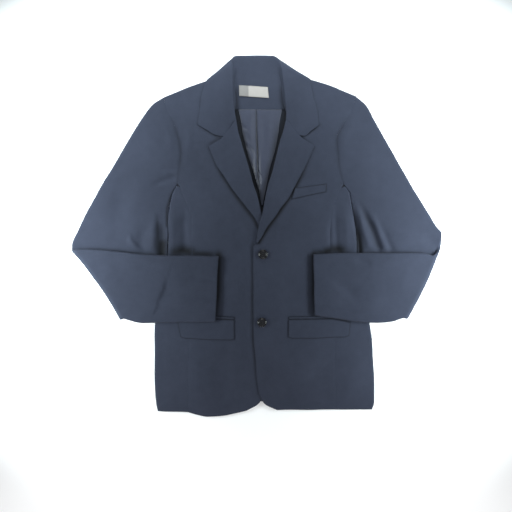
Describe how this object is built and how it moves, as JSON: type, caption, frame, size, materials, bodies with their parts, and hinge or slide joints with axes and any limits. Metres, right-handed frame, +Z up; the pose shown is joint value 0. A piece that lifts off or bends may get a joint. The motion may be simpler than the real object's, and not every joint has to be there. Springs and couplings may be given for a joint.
{
  "type": "blazer",
  "caption": "Tailored jacket with notch lapels, a breast welt and flap pockets, laid flat on its back with both forearms folded across the front.",
  "frame": {"origin": "middle of the laid-out garment, on the surface that its back lies on", "axes": "+X to the wearer's left, +Y towards the collar, +Z up off the surface"},
  "size_m": [0.7776, 0.7578, 0.0156],
  "materials": {
    "shell": "matte wool twill",
    "lining": "satin",
    "label": "plain woven",
    "button": "gloss"
  },
  "bodies": {
    "root": {"back": "shell", "back_neck_facing": "shell", "breast_welt": "shell", "button_lower": "button", "button_upper": "button", "collar": "shell", "flap_left": "shell", "flap_right": "shell", "front_left": "shell", "front_right": "shell", "jet_left": "shell", "jet_right": "shell", "label": "label", "lapel_left": "shell", "lapel_right": "shell", "lining_back": "lining", "side_left": "shell", "side_right": "shell", "sleeve_left_top": "shell", "sleeve_left_under": "shell", "sleeve_right_top": "shell", "sleeve_right_under": "shell"}
  },
  "joints": []
}
